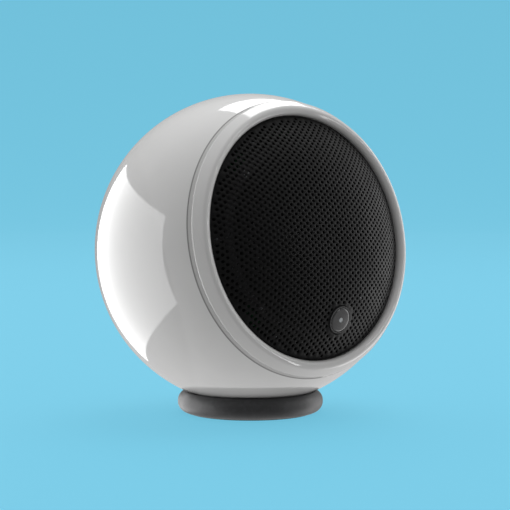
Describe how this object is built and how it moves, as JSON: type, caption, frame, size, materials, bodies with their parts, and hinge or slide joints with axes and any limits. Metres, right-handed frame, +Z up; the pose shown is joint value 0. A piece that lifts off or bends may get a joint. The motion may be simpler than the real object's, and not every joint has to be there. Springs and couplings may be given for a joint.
{
  "type": "smart speaker",
  "caption": "Ball-shaped wireless speaker in gloss white with a domed black grille and a front button, held on a magnetic swivel ring.",
  "frame": {"origin": "centre of the foot pad's underside, on the table", "axes": "+Z up, the listening side faces -Y and aims 9.5 degrees upwards, +X to the right of the swivel's axis as seen from above with the front downwards"},
  "size_m": [0.127, 0.1139, 0.1303],
  "materials": {
    "white_paint": "gloss white lacquer on steel",
    "white_gloss": "gloss white",
    "grille_paint": "satin black powder coat on perforated steel",
    "black_plastic": "satin black, moulded",
    "button_gloss": "gloss dark grey",
    "clear_plastic": "clear, frosted",
    "rear_keys": "satin grey",
    "inlet_plastic": "black",
    "foam": "pale felt wadding",
    "felt": "dark grey felt",
    "rubber_black": "black",
    "rubber_grey": "satin dark grey",
    "silicone": "grey silicone",
    "cast_basket": "grey painted die casting",
    "zinc_steel": "zinc plated",
    "ferrite": "dark grey ferrite",
    "nickel_magnet": "nickel plated",
    "cone_pulp": "black pulp",
    "cloth_tan": "resin-treated cloth",
    "former_kapton": "amber film",
    "copper": "enamelled copper",
    "terminal_board": "brown laminate with tinned tags",
    "circuit_board": "green solder mask",
    "tin_can": "tinned screening can",
    "aluminium_fins": "extruded, clear",
    "capacitor_sleeve": "dark sleeve",
    "inductor_ferrite": "dark grey moulded",
    "brass_plain": "turned brass",
    "ptfe": "white low-friction sheet",
    "cable_black": "cable sheath",
    "lead_insulation": "lead insulation"
  },
  "bodies": {
    "base": {"base_ring": "rubber_grey", "base_plate": "zinc_steel", "foot_pad": "rubber_black", "glide_washer": "ptfe"},
    "seat": {"seat_cup": "black_plastic", "seat_magnets": "nickel_magnet", "seat_liner": "felt"},
    "ball": {"shell": "white_paint", "acoustic_lining": "foam", "shell_gasket": "rubber_black", "front_baffle": "black_plastic", "baffle_screws": "zinc_steel", "bezel": "white_gloss", "bezel_screws": "zinc_steel", "grille_frame": "black_plastic", "grille": "grille_paint", "driver_basket": "cast_basket", "driver_gasket": "rubber_black", "driver_screws": "zinc_steel", "driver_top_plate": "zinc_steel", "driver_magnet": "ferrite", "driver_back_plate": "zinc_steel", "surround": "rubber_black", "spider": "cloth_tan", "driver_terminals": "terminal_board", "mic_boards": "circuit_board", "button_housing": "black_plastic", "button_board": "circuit_board", "status_led": "clear_plastic", "button_dome": "silicone", "board_carrier": "black_plastic", "main_board": "circuit_board", "board_standoffs": "brass_plain", "board_screws": "zinc_steel", "heatsink": "aluminium_fins", "wireless_module": "tin_can", "capacitors": "capacitor_sleeve", "inductors": "inductor_ferrite", "antenna_board": "circuit_board", "io_board": "circuit_board", "io_screws": "zinc_steel", "rear_gasket": "rubber_black", "rear_panel": "black_plastic", "rear_screws": "zinc_steel", "mount_insert": "brass_plain", "dc_inlet": "inlet_plastic", "dc_inlet_pin": "zinc_steel", "pairing_switch": "zinc_steel", "mute_switch": "zinc_steel", "speaker_leads": "lead_insulation", "front_cables": "cable_black", "internal_harness": "cable_black"},
    "cone_assembly": {"cone": "cone_pulp", "dust_cap": "cone_pulp", "coil_former": "former_kapton", "voice_coil": "copper"},
    "front_button": {"button_cap": "button_gloss", "light_pipe": "clear_plastic"},
    "pairing_key": {"pairing_button": "rear_keys"},
    "mute_key": {"mute_slider": "rear_keys"}
  },
  "joints": [
    {"name": "swivel", "type": "hinge", "parent": "base", "child": "seat", "pos_m": [0, 0, 0], "axis": [0, 0, 1], "continuous": true},
    {"name": "tilt", "type": "hinge", "parent": "seat", "child": "ball", "pos_m": [0, 0, 0.0668], "axis": [-1, 0, 0], "range_deg": [-13.5, 20.5]},
    {"name": "cone_stroke", "type": "slide", "parent": "ball", "child": "cone_assembly", "axis": [0, -0.9863, 0.165], "range_m": [-0.0025, 0.0025], "stiffness_N_per_m": 1300, "deforming": ["surround", "spider"]},
    {"name": "front_press", "type": "slide", "parent": "ball", "child": "front_button", "axis": [-0.0575, 0.9732, 0.2225], "range_m": [0, 0.0008], "stiffness_N_per_m": 1200, "springref_m": -0.0006, "deforming": ["button_dome"]},
    {"name": "pairing_press", "type": "slide", "parent": "ball", "child": "pairing_key", "axis": [0, -0.9863, 0.165], "range_m": [0, 0.0005], "stiffness_N_per_m": 1500, "springref_m": -0.0005},
    {"name": "mute_slide", "type": "slide", "parent": "ball", "child": "mute_key", "axis": [1, 0, 0], "range_m": [0, 0.0028]}
  ]
}
